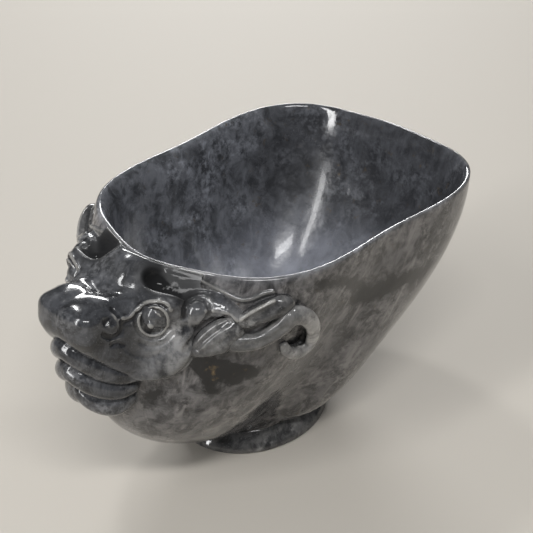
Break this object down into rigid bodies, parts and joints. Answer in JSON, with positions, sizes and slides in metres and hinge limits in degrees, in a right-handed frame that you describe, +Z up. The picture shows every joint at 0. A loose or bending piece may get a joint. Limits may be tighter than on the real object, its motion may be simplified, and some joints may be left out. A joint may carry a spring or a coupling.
{
  "type": "libation cup",
  "caption": "Carved jade libation cup: a boat-shaped bowl on a low oval foot, its end carved as a horned dragon's head.",
  "frame": {"origin": "middle of the cup's footprint box, on the surface that the foot stands on", "axes": "+X along the cup's length away from the dragon's head, +Y across to the dragon's right, +Z up"},
  "size_m": [0.134, 0.0794, 0.0741],
  "materials": {
    "jade_bowl": "polished dark grey mottled jade, cloudy lighter patches, bluish inside and brownish outside",
    "jade_foot": "polished dark grey jade, worn a little duller where it stands",
    "jade_carving": "polished dark grey jade, paler and translucent along its thin carved edges"
  },
  "bodies": {
    "root": {"bowl": "jade_bowl", "foot_ring": "jade_foot", "skull": "jade_carving", "muzzle": "jade_carving", "throat": "jade_carving", "lower_lip": "jade_carving", "beard_fold": "jade_carving", "chin": "jade_carving", "crest": "jade_carving", "cheek_left": "jade_carving", "cheek_right": "jade_carving", "eyeball_left": "jade_carving", "eyeball_right": "jade_carving", "eyelid_left": "jade_carving", "eyelid_right": "jade_carving", "brow_left": "jade_carving", "brow_right": "jade_carving", "nostril_left": "jade_carving", "nostril_right": "jade_carving", "temple_curl_left": "jade_carving", "temple_curl_right": "jade_carving", "ear_left": "jade_carving", "ear_right": "jade_carving", "horn_left": "jade_carving", "horn_right": "jade_carving", "horn_scroll_left": "jade_carving", "horn_scroll_right": "jade_carving"}
  },
  "joints": []
}
